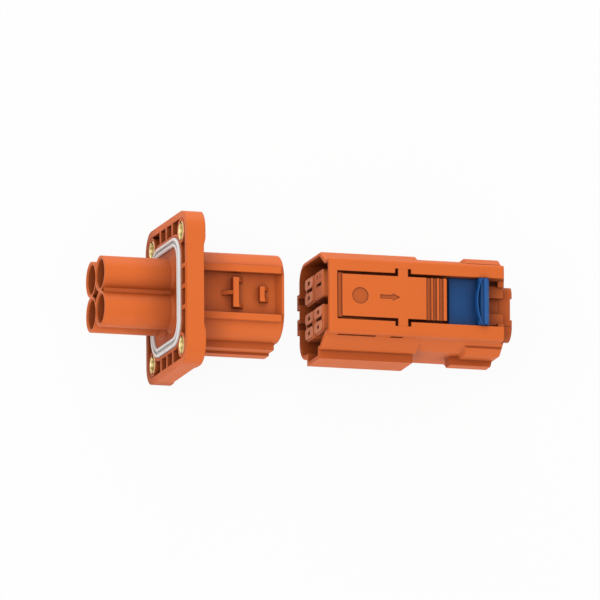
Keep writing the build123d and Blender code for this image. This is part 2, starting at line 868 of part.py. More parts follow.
# Socket terminals with a box for the blade, and the contact spring in each box
sockets = []
springs = []
box_start = socket_cavity_x + box_room
box_end = box_start + box_length
box_inner_z = blade_width + 2 * box_side_room
for number, (y, z) in enumerate(spots, 1):
    with BuildPart() as socket:
        with BuildSketch(Plane.YZ.offset(box_start)):
            with Locations((y, z)):
                Rectangle(box_inner_y + 2 * box_wall, box_inner_z + 2 * box_wall)
                Rectangle(box_inner_y, box_inner_z, mode=Mode.SUBTRACT)
        extrude(amount=box_end - box_start)
        with BuildSketch(Plane.YZ.offset(box_end)):
            with Locations((y, z)):
                Rectangle(box_inner_y + 2 * box_wall, box_inner_z + 2 * box_wall)
        with BuildSketch(Plane.YZ.offset(socket_cavity_end)):
            with Locations((y, z)):
                Rectangle(box_inner_y, box_inner_z - 2 * neck_taper)
        loft()
        with BuildSketch(Plane.YZ.offset(socket_cavity_end)):
            with Locations((y, z)):
                Circle(barrel_radius)
        extrude(amount=crimp_length)
        with BuildSketch(Plane.YZ.offset(socket_cavity_end + crimp_solid)):
            with Locations((y, z)):
                Circle(barrel_radius - crimp_wall)
        extrude(amount=crimp_length - crimp_solid, mode=Mode.SUBTRACT)
    socket.part.label = f"socket_terminal_{number}"
    sockets.append(socket.part)

    with BuildPart() as spring:
        wall_y = y + box_inner_y / 2 - spring_thickness
        crown_y = y + blade_thickness / 2 + spring_contact_gap
        spring_ends = (box_start + spring_front, box_end - spring_rear)
        with BuildSketch(Plane.XY.offset(z)):
            with BuildLine():
                bow = [(spring_ends[0], wall_y), (sum(spring_ends) / 2, crown_y), (spring_ends[1], wall_y)]
                inner = ThreePointArc(*bow)
                outer = ThreePointArc(*[(x, side_y + spring_thickness) for x, side_y in bow])
                Line(inner @ 0, outer @ 0)
                Line(inner @ 1, outer @ 1)
            make_face()
        extrude(amount=blade_width / 2 - box_side_room, both=True)
    spring.part.label = f"contact_spring_{number}"
    springs.append(spring.part)

# Interlock bridge that joins the two pins when the plug is home
with BuildPart() as interlock_bridge:
    with BuildSketch(Plane.YZ.offset(box_start)):
        with Locations((pin_y, pin_z)):
            with GridLocations(1, pin_pitch, 1, 2):
                Rectangle(bridge_socket, bridge_socket)
                Rectangle(bridge_hole, bridge_hole, mode=Mode.SUBTRACT)
    extrude(amount=bridge_length)
    with BuildSketch(Plane.YZ.offset(box_start + bridge_length)):
        with Locations((pin_y, pin_z)):
            Rectangle(bridge_socket, pin_pitch + bridge_socket)
    extrude(amount=bridge_web)

interlock_bridge.part.label = "interlock_bridge"

# Wire seals in the rear bores
wire_seals = []
wire_seal_start = seal_bore_start + (seal_bore_depth - wire_seal_length) / 2
for number, (y, z) in enumerate(spots, 1):
    with BuildPart() as wire_seal:
        with BuildSketch(Plane.YZ.offset(wire_seal_start)):
            with Locations((y, z)):
                Circle(seal_bore_radius - seat_gap)
                Circle(wire_seal_bore_radius, mode=Mode.SUBTRACT)
        extrude(amount=wire_seal_length)
    wire_seal.part.label = f"wire_seal_{number}"
    wire_seals.append(wire_seal.part)

# Rear cap
with BuildPart() as rear_cap:
    with BuildSketch(Plane.YZ.offset(cap_flange_start)):
        add(body_section(plug_wall + seat_gap, core_top))
    extrude(amount=cap_flange_end - cap_flange_start)
    with BuildSketch(Plane.YZ.offset(cap_flange_end)):
        RectangleRounded(2 * cap_half_width, 2 * cap_half_height, cap_corner_radius)
    extrude(amount=cap_end - cap_flange_end)
    block(
        (cap_end - cap_notch_depth, cap_end),
        (-cap_notch_half_width, cap_notch_half_width),
        (-cap_half_height, cap_half_height),
        Mode.SUBTRACT,
    )
    for side, row in ((1, 1), (1, -1), (-1, 1), (-1, -1)):
        block(
            (cap_flange_end, cap_end),
            sorted((side * (pitch_y / 2 - cable_slot), side * (cap_half_width + overlap))),
            (row * pitch_z / 2 - cable_slot, row * pitch_z / 2 + cable_slot),
            Mode.SUBTRACT,
        )
    with BuildSketch(Plane.YZ.offset(core_end)):
        with Locations(*spots):
            Circle(cable_radius)
    extrude(amount=cap_end - core_end, mode=Mode.SUBTRACT)

rear_cap.part.label = "rear_cap"

# Latch lever, a rocker on two torsion webs with its hook at the mouth end
with BuildPart() as latch_lever:
    underside = tower_top - lever_thickness
    tail_underside = tower_top - lever_tail_thickness
    with BuildSketch(Plane.XZ):
        with BuildLine():
            Polyline(
                (lever_start, tower_top),
                (lever_end, tower_top),
                (lever_end, tail_underside),
                (lever_end - lever_tail_length, tail_underside),
                (lever_end - lever_tail_length - lever_tail_slope, underside),
                (lever_start, underside),
                close=True,
            )
        make_face()
    extrude(amount=lever_half_width, both=True)
    with BuildSketch(Plane.XZ):
        with BuildLine():
            Polyline(
                (lever_start, underside),
                (lever_start, hook_bottom + hook_chamfer),
                (lever_start + hook_chamfer, hook_bottom),
                (lever_start + hook_length, hook_bottom),
                (lever_start + hook_length, underside),
                close=True,
            )
        make_face()
    extrude(amount=hook_half_width, both=True)
    block(
        (web_start, web_start + web_length),
        (-web_opening_half_width, web_opening_half_width),
        (tower_top - web_thickness, tower_top),
        Mode.ADD,
    )
    for groove_setback, groove_width in grip_grooves:
        block(
            (lever_end - groove_setback, lever_end - groove_setback + groove_width),
            (-lever_half_width, lever_half_width),
            (tower_top - grip_depth, tower_top),
            Mode.SUBTRACT,
        )
    arrow_start = lever_start + arrow_setback
    arrow_end = arrow_start + arrow_length
    with BuildSketch(Plane.XY.offset(tower_top)):
        with Locations((lever_start + pad_setback, 0)):
            Circle(pad_diameter / 2)
        with BuildLine():
            Polyline(
                (arrow_start, arrow_shaft / 2),
                (arrow_end - arrow_head, arrow_shaft / 2),
                (arrow_end - arrow_head, arrow_head / 2),
                (arrow_end, 0),
                (arrow_end - arrow_head, -arrow_head / 2),
                (arrow_end - arrow_head, -arrow_shaft / 2),
                (arrow_start, -arrow_shaft / 2),
                close=True,
            )
        make_face()
    extrude(amount=-mark_depth, mode=Mode.SUBTRACT)

latch_lever.part.label = "latch_lever"

# Lock slider with its thumb lip, side runners and a forward arm under the lever
with BuildPart() as lock_slider:
    plate_underside = slider_top - slider_thickness
    with BuildSketch(Plane.XZ):
        with BuildLine():
            Polyline(
                (slider_start, plate_underside),
                (slider_start, slider_top - slider_edge),
                (slider_start + slider_edge, slider_top),
                (slider_plate_end, slider_top),
                (slider_plate_end + slider_lip_lean, slider_lip_top - slider_lip_edge),
                (slider_plate_end + slider_lip_lean + slider_lip_edge, slider_lip_top),
                (slider_end - slider_lip_edge, slider_lip_top),
                (slider_end, slider_lip_top - slider_lip_edge),
                (slider_end, plate_underside),
                close=True,
            )
        make_face()
    extrude(amount=slider_half_width, both=True)
    block(
        (slider_start + runner_setback, slider_end),
        (-chamber_half_width - runner_depth + slide_gap, chamber_half_width + runner_depth - slide_gap),
        (runner_z - runner_height / 2, runner_z + runner_height / 2),
        Mode.ADD,
    )
    block(
        (slider_start - slider_arm_length, slider_start + slider_thickness),
        (-slider_arm_half_width, slider_arm_half_width),
        (slider_arm_bottom, slider_arm_bottom + slider_arm_thickness),
        Mode.ADD,
    )

lock_slider.part.label = "lock_slider"

os.makedirs("parts", exist_ok=True)
single_pieces = [receptacle_housing, flange_gasket, plug_housing, silo_housing, interface_seal]
single_pieces += [interlock_bridge, rear_cap, latch_lever, lock_slider]
for piece in single_pieces:
    export_step(piece.part, f"parts/{piece.part.label}.step")
for piece in limiters + blades + tips + pins + sockets + springs + wire_seals:
    export_step(piece, f"parts/{piece.label}.step")
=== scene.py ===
import math
import bpy
from mathutils import Matrix, Vector


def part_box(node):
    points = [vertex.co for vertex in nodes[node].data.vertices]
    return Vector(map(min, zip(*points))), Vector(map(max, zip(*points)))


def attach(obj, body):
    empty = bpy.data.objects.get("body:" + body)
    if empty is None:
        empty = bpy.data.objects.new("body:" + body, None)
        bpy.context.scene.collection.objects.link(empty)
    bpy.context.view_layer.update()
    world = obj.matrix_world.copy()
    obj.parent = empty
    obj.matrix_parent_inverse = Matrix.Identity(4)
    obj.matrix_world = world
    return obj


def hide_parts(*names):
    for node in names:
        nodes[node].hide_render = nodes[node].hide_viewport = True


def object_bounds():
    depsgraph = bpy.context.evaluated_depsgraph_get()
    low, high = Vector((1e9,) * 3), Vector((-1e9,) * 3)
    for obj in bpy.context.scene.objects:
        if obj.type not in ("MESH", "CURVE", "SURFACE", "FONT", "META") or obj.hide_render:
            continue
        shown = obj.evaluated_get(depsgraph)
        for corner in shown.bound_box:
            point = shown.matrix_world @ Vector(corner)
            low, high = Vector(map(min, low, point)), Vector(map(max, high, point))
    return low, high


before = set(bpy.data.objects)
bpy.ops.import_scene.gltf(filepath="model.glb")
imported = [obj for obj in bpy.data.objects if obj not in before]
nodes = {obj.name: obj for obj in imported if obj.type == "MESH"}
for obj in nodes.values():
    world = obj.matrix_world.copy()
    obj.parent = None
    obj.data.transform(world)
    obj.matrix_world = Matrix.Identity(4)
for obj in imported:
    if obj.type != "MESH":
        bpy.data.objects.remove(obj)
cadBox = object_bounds()
scene = bpy.context.scene
print("frame loaded with", len(nodes), "pieces")


class Wire:  # a node's output that can stand in an expression, which adds the Math nodes it needs
    def __init__(self, tree, socket):
        self.tree = tree
        self.socket = socket

    def maths(self, operation, first, second):
        return plant(self.tree, "ShaderNodeMath", {"operation": operation}, {0: first, 1: second})

    def __add__(self, other):
        return self.maths("ADD", self, other)

    def __radd__(self, other):
        return self.maths("ADD", other, self)

    def __sub__(self, other):
        return self.maths("SUBTRACT", self, other)

    def __rsub__(self, other):
        return self.maths("SUBTRACT", other, self)

    def __mul__(self, other):
        return self.maths("MULTIPLY", self, other)

    def __rmul__(self, other):
        return self.maths("MULTIPLY", other, self)

    def __neg__(self):
        return self.maths("MULTIPLY", self, -1.0)

    def __pow__(self, other):
        return self.maths("POWER", self, other)

    def __rpow__(self, other):
        return self.maths("POWER", other, self)


def feed(tree, target, sockets):  # gives a node's inputs their values and links
    for key, value in sockets.items():
        if isinstance(value, Wire):
            tree.links.new(value.socket, target.inputs[key])
        else:
            target.inputs[key].default_value = value


def plant(tree, kind, settings, sockets, output=0):  # any node, settings first, as a wire from one output
    made = tree.nodes.new(kind)
    for key, value in settings.items():
        setattr(made, key, value)
    feed(tree, made, sockets)
    return Wire(tree, made.outputs[output])


class Finish:  # one material and the nodes that make it
    def __init__(self, name):
        self.material = bpy.data.materials.new(name)
        self.material.use_nodes = True
        self.tree = self.material.node_tree
        self.shader = self.tree.nodes["Principled BSDF"]
        self.place = self.node("ShaderNodeTexCoord", {}, {}, "Object")

    def node(self, kind, settings, sockets, output=0):
        return plant(self.tree, kind, settings, sockets, output)

    def noise(self, scale, detail, stretch=(1, 1, 1)):
        mapping = self.node("ShaderNodeMapping", {}, {"Vector": self.place, "Scale": stretch})
        return self.node("ShaderNodeTexNoise", {}, {"Vector": mapping, "Scale": scale, "Detail": detail})

    def blend(self, share, first, second):
        return self.node("ShaderNodeMix", {"data_type": "RGBA"}, {0: share, 6: first, 7: second}, 2)

    def openness(self, reach):  # ambient occlusion, 1 on open faces, less in corners and slots, by which the looks paint shade into the base colour
        return self.node("ShaderNodeAmbientOcclusion", {"samples": 8}, {"Distance": reach}, "AO")

    def relief(self, height, depth, edge):  # fine grain over softly broken edges
        soft = self.node("ShaderNodeBevel", {"samples": 6}, {"Radius": edge})
        sockets = {"Height": height, "Strength": 1.0, "Distance": depth, "Normal": soft}
        return self.node("ShaderNodeBump", {}, sockets)

    def depthBelow(self, level, fade):  # 0 on the top face, 1 where the surface lies deeper by fade, a mask for painted shade
        height = self.node("ShaderNodeSeparateXYZ", {}, {0: self.place}, "Z")
        return self.node("ShaderNodeClamp", {}, {"Value": (level - height) * (1 / fade)})

    def dress(self, sockets):
        feed(self.tree, self.shader, sockets)
        return self.material


def colour(red, green, blue):  # screen values 0-255 to the linear values that shaders take
    linear = []
    for part in (red / 255, green / 255, blue / 255):
        linear.append(part / 12.92 if part <= 0.04045 else ((part + 0.055) / 1.055) ** 2.4)
    return (*linear, 1)


plasticGrainAndPaintedShade = {  # noises as scale, detail and stretch, and the fade of painted shade below a top face
    "cloud": (35, 4),
    "grain": (2200, 2),
    "flow": (60, 3, (0.3, 1, 1)),
    "grainDepth": 0.00002,
    "roughnessSpan": 0.12,
    "sunkFade": 0.0002,
}
# noises as scale and detail; reach and depth set the painted shade in the metal's hollows
metalGrainAndPaintedShade = {
    "cloud": (140, 3),
    "brush": (900, 3),
    "brushDepth": 0.000012,
    "edge": 0.0002,
    "roughnessSpan": 0.14,
    "reach": 0.004,
    "depth": 0.6,
}


def mouldedPlastic(name, look):
    finish = Finish(name)
    cloud = finish.noise(*plasticGrainAndPaintedShade["cloud"])
    grain = finish.noise(*plasticGrainAndPaintedShade["grain"])
    flow = finish.noise(*plasticGrainAndPaintedShade["flow"])
    # painted shade: the base colour darkens towards the shade colour in corners, slots and recesses, where
    # less light falls
    shade = (1 - finish.openness(look["reach"])) ** look["spread"] * look["depth"]
    # more painted shade on faces lying below the top face
    if "top" in look:
        shade = shade + finish.depthBelow(look["top"], plasticGrainAndPaintedShade["sunkFade"]) * look["sunkPaintedShade"]
    face = finish.blend(cloud, colour(*look["face"]), colour(*look["pale"]))
    span = plasticGrainAndPaintedShade["roughnessSpan"]
    return finish.dress({
        "Base Color": finish.blend(shade, face, colour(*look["paintedShadeColour"])),
        "Roughness": flow * span + (look["roughness"] - span / 2),
        "Normal": finish.relief(grain, plasticGrainAndPaintedShade["grainDepth"], look["edge"]),
        "Specular IOR Level": look["gloss"],
    })


def rolledMetal(name, look):
    finish = Finish(name)
    cloud = finish.noise(*metalGrainAndPaintedShade["cloud"])
    brush = finish.noise(*metalGrainAndPaintedShade["brush"], look["grain"])
    # painted shade: the base colour darkens in the metal's hollows, where less light falls
    shade = (1 - finish.openness(metalGrainAndPaintedShade["reach"])) * metalGrainAndPaintedShade["depth"]
    face = finish.blend(cloud, colour(*look["face"]), colour(*look["pale"]))
    return finish.dress({
        "Base Color": finish.blend(shade, face, colour(*look["paintedShadeColour"])),
        "Metallic": 1.0,
        "Roughness": brush * metalGrainAndPaintedShade["roughnessSpan"] + look["roughness"],
        "Normal": finish.relief(brush, metalGrainAndPaintedShade["brushDepth"], metalGrainAndPaintedShade["edge"]),
    })


# in each look, reach, depth and spread set the painted shade in corners and recesses, and the last colour
# is that painted shade
orangeNylon = {
    "face": (226, 107, 40), "pale": (231, 112, 46), "paintedShadeColour": (98, 38, 14), "roughness": 0.5,
    "gloss": 0.25, "reach": 0.020, "depth": 0.95, "spread": 0.7, "edge": 0.0006,
}
leverLow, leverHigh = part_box("latch_lever")
plasticLooks = {
    "orangeNylon": orangeNylon,
    "orangeLever": {**orangeNylon, "top": leverHigh.z, "sunkPaintedShade": 0.32},  # painted shade on faces below its top face
    "orangeCore": {
        "face": (224, 112, 54), "pale": (230, 120, 62), "paintedShadeColour": (80, 30, 12), "roughness": 0.5,
        "gloss": 0.4, "reach": 0.010, "depth": 0.95, "spread": 0.8, "edge": 0.0002,
    },
    # a paler copy of the orange plastic: painted light on the silo faces
    "orangeFacePaintedLight": {
        "face": (248, 150, 104), "pale": (252, 158, 112), "paintedShadeColour": (110, 46, 20), "roughness": 0.5,
        "gloss": 0.4, "reach": 0.008, "depth": 0.8, "spread": 1.0, "edge": 0.0002,
    },
    "blueNylon": {
        "face": (14, 74, 134), "pale": (20, 82, 144), "paintedShadeColour": (4, 26, 62), "roughness": 0.42,
        "gloss": 0.3, "reach": 0.010, "depth": 0.9, "spread": 0.7, "edge": 0.0003,
    },
    # a brighter copy of the blue nylon: painted light on the slider lip's crest and rim
    "blueCrestPaintedLight": {
        "face": (12, 84, 154), "pale": (20, 92, 164), "paintedShadeColour": (4, 30, 72), "roughness": 0.4,
        "gloss": 0.4, "reach": 0.006, "depth": 0.8, "spread": 0.9, "edge": 0.0003,
    },
    "greySilicone": {
        "face": (240, 240, 238), "pale": (246, 246, 244), "paintedShadeColour": (78, 78, 80), "roughness": 0.5,
        "gloss": 0.4, "reach": 0.004, "depth": 0.95, "spread": 0.9, "edge": 0.0001,
    },
    "sealSilicone": {
        "face": (170, 78, 36), "pale": (182, 90, 44), "paintedShadeColour": (80, 30, 14), "roughness": 0.6,
        "gloss": 0.4, "reach": 0.004, "depth": 0.8, "spread": 1.0, "edge": 0.0001,
    },
    "blackTip": {
        "face": (34, 34, 36), "pale": (44, 44, 46), "paintedShadeColour": (16, 16, 17), "roughness": 0.5,
        "gloss": 0.4, "reach": 0.004, "depth": 0.5, "spread": 1.0, "edge": 0.0001,
    },
}
metalLooks = {
    "brass": {
        "face": (244, 228, 166), "pale": (250, 238, 184), "paintedShadeColour": (84, 64, 24), "roughness": 0.32,
        "grain": (1, 0.1, 0.1),
    },
    "tinnedCopper": {
        "face": (200, 198, 192), "pale": (212, 210, 206), "paintedShadeColour": (90, 86, 80), "roughness": 0.26,
        "grain": (0.05, 1, 1),
    },
    "springSteel": {
        "face": (176, 176, 178), "pale": (190, 190, 192), "paintedShadeColour": (80, 80, 82), "roughness": 0.3,
        "grain": (0.05, 1, 1),
    },
}
finishes = {name: mouldedPlastic(name, look) for name, look in plasticLooks.items()}
finishes.update({name: rolledMetal(name, look) for name, look in metalLooks.items()})

nodeFinishes = {  # receptacle_housing, plug_housing and rear_cap are orangeNylon
    "flange_gasket": "greySilicone", "compression_limiter": "brass", "blade_terminal": "tinnedCopper",
    "blade_tip": "blackTip", "interlock_pin": "brass", "silo_housing": "orangeCore",
    "interface_seal": "sealSilicone", "socket_terminal": "tinnedCopper", "contact_spring": "springSteel",
    "interlock_bridge": "brass", "wire_seal": "sealSilicone", "lock_slider": "blueNylon",
    "latch_lever": "orangeLever",
}
for name, piece in nodes.items():
    kind = name.rstrip("0123456789").rstrip("_")
    piece.data.materials.clear()
    piece.data.materials.append(finishes[nodeFinishes.get(kind, "orangeNylon")])
print("finishes set:", len(finishes))

creaseAngle = 0.6  # radians, past which an edge stays sharp
mergeDistance = 0.000001  # points nearer than this become one


def grow(name, sizes, build, finish, body, replaced):  # a piece from a Geometry Nodes tree
    tree = bpy.data.node_groups.new(name, "GeometryNodeTree")
    tree.interface.new_socket("Geometry", in_out="OUTPUT", socket_type="NodeSocketGeometry")
    identifiers = {}
    for label, value in sizes.items():
        kind = "NodeSocketInt" if isinstance(value, int) else "NodeSocketFloat"
        socket = tree.interface.new_socket(label, in_out="INPUT", socket_type=kind)
        identifiers[label] = socket.identifier
    entry = tree.nodes.new("NodeGroupInput")
    shape = build(tree, {item.name: Wire(tree, item) for item in entry.outputs})
    whole = plant(tree, "GeometryNodeRealizeInstances", {}, {"Geometry": shape})
    smooth = plant(tree, "GeometryNodeSetShadeSmooth", {}, {0: whole, "Shade Smooth": True})
    angle = plant(tree, "GeometryNodeInputMeshEdgeAngle", {}, {})
    steep = angle.maths("GREATER_THAN", angle, creaseAngle)
    sharp = {0: smooth, 1: steep, "Shade Smooth": False}
    creased = plant(tree, "GeometryNodeSetShadeSmooth", {"domain": "EDGE"}, sharp)
    painted = plant(tree, "GeometryNodeSetMaterial", {}, {0: creased, "Material": finish})
    feed(tree, tree.nodes.new("NodeGroupOutput"), {0: painted})
    piece = bpy.data.objects.new(name, bpy.data.meshes.new(name))
    scene.collection.objects.link(piece)
    modifier = piece.modifiers.new("grow", "NODES")
    modifier.node_group = tree
    for label, identifier in identifiers.items():
        modifier[identifier] = sizes[label]
    bpy.context.view_layer.update()
    grown = piece.evaluated_get(bpy.context.evaluated_depsgraph_get())
    mesh = bpy.data.meshes.new_from_object(grown)
    piece.modifiers.clear()
    piece.data = mesh
    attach(piece, body)
    if replaced:
        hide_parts(*replaced)
    print(name, "has", len(mesh.polygons), "faces")


def oblong(tree, width, height):
    return plant(tree, "GeometryNodeCurvePrimitiveQuadrilateral", {}, {"Width": width, "Height": height})


def ring(tree, radius, steps):
    return plant(tree, "GeometryNodeCurvePrimitiveCircle", {}, {"Resolution": steps, "Radius": radius})


def arc(tree, radius, start, turn, steps):
    sockets = {"Resolution": steps, "Radius": radius, "Start Angle": start, "Sweep Angle": turn}
    return plant(tree, "GeometryNodeCurveArc", {}, sockets)


def loop(tree, width, height, corner, steps):  # a rounded rectangle as a closed curve
    sockets = {"Curve": oblong(tree, width, height), "Radius": corner, "Count": steps}
    return plant(tree, "GeometryNodeFilletCurve", {"mode": "POLY"}, sockets)


def sweep(tree, path, profile):
    sockets = {"Curve": path, "Profile Curve": profile, "Fill Caps": True}
    return plant(tree, "GeometryNodeCurveToMesh", {}, sockets)


def filled(tree, curve):
    return plant(tree, "GeometryNodeFillCurve", {}, {"Curve": curve})


def point(tree, x, y, z):
    return plant(tree, "ShaderNodeCombineXYZ", {}, {"X": x, "Y": y, "Z": z})


def box(tree, length, width, height):
    return plant(tree, "GeometryNodeMeshCube", {}, {"Size": point(tree, length, width, height)})


def joined(tree, shapes):
    made = tree.nodes.new("GeometryNodeJoinGeometry")
    for shape in shapes:
        tree.links.new(shape.socket, made.inputs[0])
    return Wire(tree, made.outputs[0])


def shifted(tree, shape, x, y, z, turn=(0, 0, 0)):
    sockets = {"Geometry": shape, "Translation": point(tree, x, y, z), "Rotation": turn}
    return plant(tree, "GeometryNodeTransform", {}, sockets)


def raised(tree, shape, z):
    return shifted(tree, shape, 0.0, 0.0, z)


def stood(tree, shape, x, facing=1):  # turns a shape made flat on XY to face along X, moved along by x
    return shifted(tree, shape, x, 0.0, 0.0, (math.pi / 2, 0, facing * math.pi / 2))


def thickened(tree, flat, thickness):  # a flat face drawn out into a closed solid
    sockets = {"Mesh": flat, "Offset Scale": thickness, "Individual": False}
    drawn = plant(tree, "GeometryNodeExtrudeMesh", {}, sockets)
    back = plant(tree, "GeometryNodeFlipFaces", {}, {"Mesh": flat})
    sockets = {"Geometry": joined(tree, [back, drawn]), "Distance": mergeDistance}
    return plant(tree, "GeometryNodeMergeByDistance", {}, sockets)


def block(tree, low, high):  # a box between two corners
    spans = [end - start for start, end in zip(low, high)]
    middles = [start + span * 0.5 for start, span in zip(low, spans)]
    return shifted(tree, box(tree, *spans), *middles)


def cornered(tree, shape, across, up, chosen):  # copies on the corners of a rectangle
    grid = {"Size X": across, "Size Y": up, "Vertices X": 2, "Vertices Y": 2}
    corners = plant(tree, "GeometryNodeMeshGrid", {}, grid)
    sockets = {"Points": corners, "Instance": shape, "Selection": chosen}
    return plant(tree, "GeometryNodeInstanceOnPoints", {}, sockets)


gasketLow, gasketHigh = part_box("flange_gasket")
gasketSizes = {
    "Width": gasketHigh.y - gasketLow.y,
    "Height": gasketHigh.z - gasketLow.z,
    "Corner": 0.0109,
    "Band": 0.0042,
    "Lip": 0.00085,
    "Strip thickness": 0.0023,
    "Strip proud": 0.0001,
    "Lip front": gasketLow.x,
    "Corner steps": 14,
    "Lip steps": 14,
}


def gasketShape(tree, given):  # a flat strip under an outer and an inner lip, which are round beads
    def course(inset):  # the gasket's outline, drawn in by inset
        width = given["Width"] - inset * 2.0
        height = given["Height"] - inset * 2.0
        return loop(tree, width, height, given["Corner"] - inset, given["Corner steps"])

    parts = []
    for inset in (given["Lip"], given["Lip"] + (given["Band"] - given["Lip"] * 2.0)):
        bead = sweep(tree, course(inset), ring(tree, given["Lip"], given["Lip steps"]))
        parts.append(raised(tree, bead, given["Lip front"] + given["Lip"]))
    profile = oblong(tree, given["Band"], given["Strip thickness"])
    strip = sweep(tree, course(given["Band"] * 0.5), profile)
    parts.append(raised(tree, strip, given["Strip thickness"] * 0.5 - given["Strip proud"]))
    return stood(tree, joined(tree, parts), 0.0)


grow("gasket_beads", gasketSizes, gasketShape, finishes["greySilicone"], "receptacle", ["flange_gasket"])

bushLow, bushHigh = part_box("compression_limiter_1")
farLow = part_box("compression_limiter_4")[0]
bushSizes = {
    "Spacing across": abs(farLow.y - bushLow.y),
    "Spacing up": abs(farLow.z - bushLow.z),
    "Outer radius": (bushHigh.y - bushLow.y) / 2,
    "Bore radius": 0.00325,
    "Length": bushHigh.x - bushLow.x,
    "Rounding": 0.0003,
    "Seam angle": 0.3,
    "Round steps": 32,
    "Rounding steps": 3,
}


def bushShape(tree, given):  # rolled bushings, each of two half shells with a seam between them
    wall = given["Outer radius"] - given["Bore radius"]
    middle = given["Bore radius"] + wall * 0.5
    profile = loop(tree, wall, given["Length"], given["Rounding"], given["Rounding steps"])
    turn = math.pi - given["Seam angle"] * 2.0
    shells = []
    for start in (0.0, math.pi):
        path = arc(tree, middle, given["Seam angle"] + start, turn, given["Round steps"])
        shells.append(sweep(tree, path, profile))
    bushing = raised(tree, joined(tree, shells), given["Length"] * 0.5)
    return stood(tree, cornered(tree, bushing, given["Spacing across"], given["Spacing up"], True), 0.0)


grow("bushings", bushSizes, bushShape, finishes["brass"], "receptacle",
     [f"compression_limiter_{number}" for number in range(1, 5)])

poleBoxes = [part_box(f"blade_terminal_{number}") for number in range(1, 5)]
poleYs = sorted((low.y + high.y) / 2 for low, high in poleBoxes)
poleZs = sorted((low.z + high.z) / 2 for low, high in poleBoxes)
poleSpacing = {"Pitch across": poleYs[-1] - poleYs[0], "Pitch up": poleZs[-1] - poleZs[0]}
faceSizes = {
    **poleSpacing,
    "Width": 0.0046,
    "Height": 0.0114,
    "Corner": 0.0017,
    "Corner steps": 6,
    "Thickness": 0.0005,
    "Hole width": 0.0019,
    "Hole length": 0.0039,
    "Hole corner": 0.0009,
    "Hole steps": 4,
    "Offset": 0.0032,
    "Front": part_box("silo_housing")[0].x,
    "Bare silo": 1,  # the index of the silo without them
}


def faceShape(tree, given):  # two faces beside the blade slot, with a test hole each, on three silos
    outer = loop(tree, given["Width"], given["Height"], given["Corner"], given["Corner steps"])
    hole = loop(tree, given["Hole width"], given["Hole length"], given["Hole corner"], given["Hole steps"])
    outlines = []
    for side in (-1.0, 1.0):
        place = given["Offset"] * side
        outlines += [shifted(tree, outline, place, 0.0, 0.0) for outline in (outer, hole)]
    face = thickened(tree, filled(tree, joined(tree, outlines)), given["Thickness"])
    index = plant(tree, "GeometryNodeInputIndex", {}, {})
    chosen = 1.0 - index.maths("COMPARE", index, given["Bare silo"])
    faces = cornered(tree, face, given["Pitch across"], given["Pitch up"], chosen)
    return stood(tree, faces, given["Front"], -1)


# the silo faces take the paler copy of the orange plastic, as painted light
grow("silo_faces", faceSizes, faceShape, finishes["orangeFacePaintedLight"], "plug", [])

sealLow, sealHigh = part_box("wire_seal_1")
sealSizes = {
    **poleSpacing,
    "Outer radius": (sealHigh.y - sealLow.y) / 2,
    "Bore radius": 0.0024,
    "Rib radius": 0.0007,
    "First rib": 0.2,
    "Middle rib": 0.5,
    "Last rib": 0.8,
    "Length": sealHigh.x - sealLow.x,
    "Start": sealLow.x,
    "Round steps": 40,
    "Rib steps": 10,
}


def sealShape(tree, given):  # sleeves with three round ribs each, placed by shares of the length
    body = given["Outer radius"] - given["Rib radius"]
    wall = body - given["Bore radius"]
    middle = given["Bore radius"] + wall * 0.5
    sleeve = sweep(tree, ring(tree, middle, given["Round steps"]), oblong(tree, wall, given["Length"]))
    parts = [raised(tree, sleeve, given["Length"] * 0.5)]
    bead = ring(tree, given["Rib radius"], given["Rib steps"])
    rib = sweep(tree, ring(tree, body, given["Round steps"]), bead)
    for label in ("First rib", "Middle rib", "Last rib"):
        parts.append(raised(tree, rib, given["Length"] * given[label]))
    seals = cornered(tree, joined(tree, parts), given["Pitch across"], given["Pitch up"], True)
    return stood(tree, seals, given["Start"])


grow("ribbed_seals", sealSizes, sealShape, finishes["sealSilicone"], "plug",
     [f"wire_seal_{number}" for number in range(1, 5)])

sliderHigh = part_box("lock_slider")[1]
lipSizes = {
    "Slider end": sliderHigh.x,
    "Slider top": sliderHigh.z,
    "Rise": 0.0008,
    "Half width": 0.0100,
    "Bulge": 0.0020,
    "Bulge steps": 24,
    "Rim": 0.0005,
    "Rim height": 0.0050,
    "Rim corner": 0.0002,
    "Rim steps": 2,
    "Rim inset": 0.0036,
    "Strip": 0.0017,
    "Strip height": 0.0016,
    "Strip corner": 0.0005,
    "Strip steps": 3,
    "Strip inset": 0.0018,
}


def lipShape(tree, given):  # the crest of the slider's lip and the curved rim of its thumb scoop
    first = point(tree, 0.0, -given["Half width"], 0.0)
    crown = point(tree, -given["Bulge"], 0.0, 0.0)
    last = point(tree, 0.0, given["Half width"], 0.0)
    sockets = {"Resolution": given["Bulge steps"], "Start": first, "Middle": crown, "End": last}
    bow = plant(tree, "GeometryNodeCurveArc", {"mode": "POINTS"}, sockets)
    line = plant(tree, "GeometryNodeCurvePrimitiveLine", {}, {"Start": first, "End": last})
    crest = given["Slider top"] + given["Rise"]
    parts = []
    for label, path in (("Rim", bow), ("Strip", line)):
        height = given[label + " height"]
        profile = loop(tree, given[label], height, given[label + " corner"], given[label + " steps"])
        place = given["Slider end"] - given[label + " inset"]
        parts.append(shifted(tree, sweep(tree, path, profile), place, 0.0, crest - height * 0.5))
    return joined(tree, parts)


# the crest and rim take the brighter copy of the blue nylon, as painted light
grow("thumb_lip", lipSizes, lipShape, finishes["blueCrestPaintedLight"], "lock_slider", [])

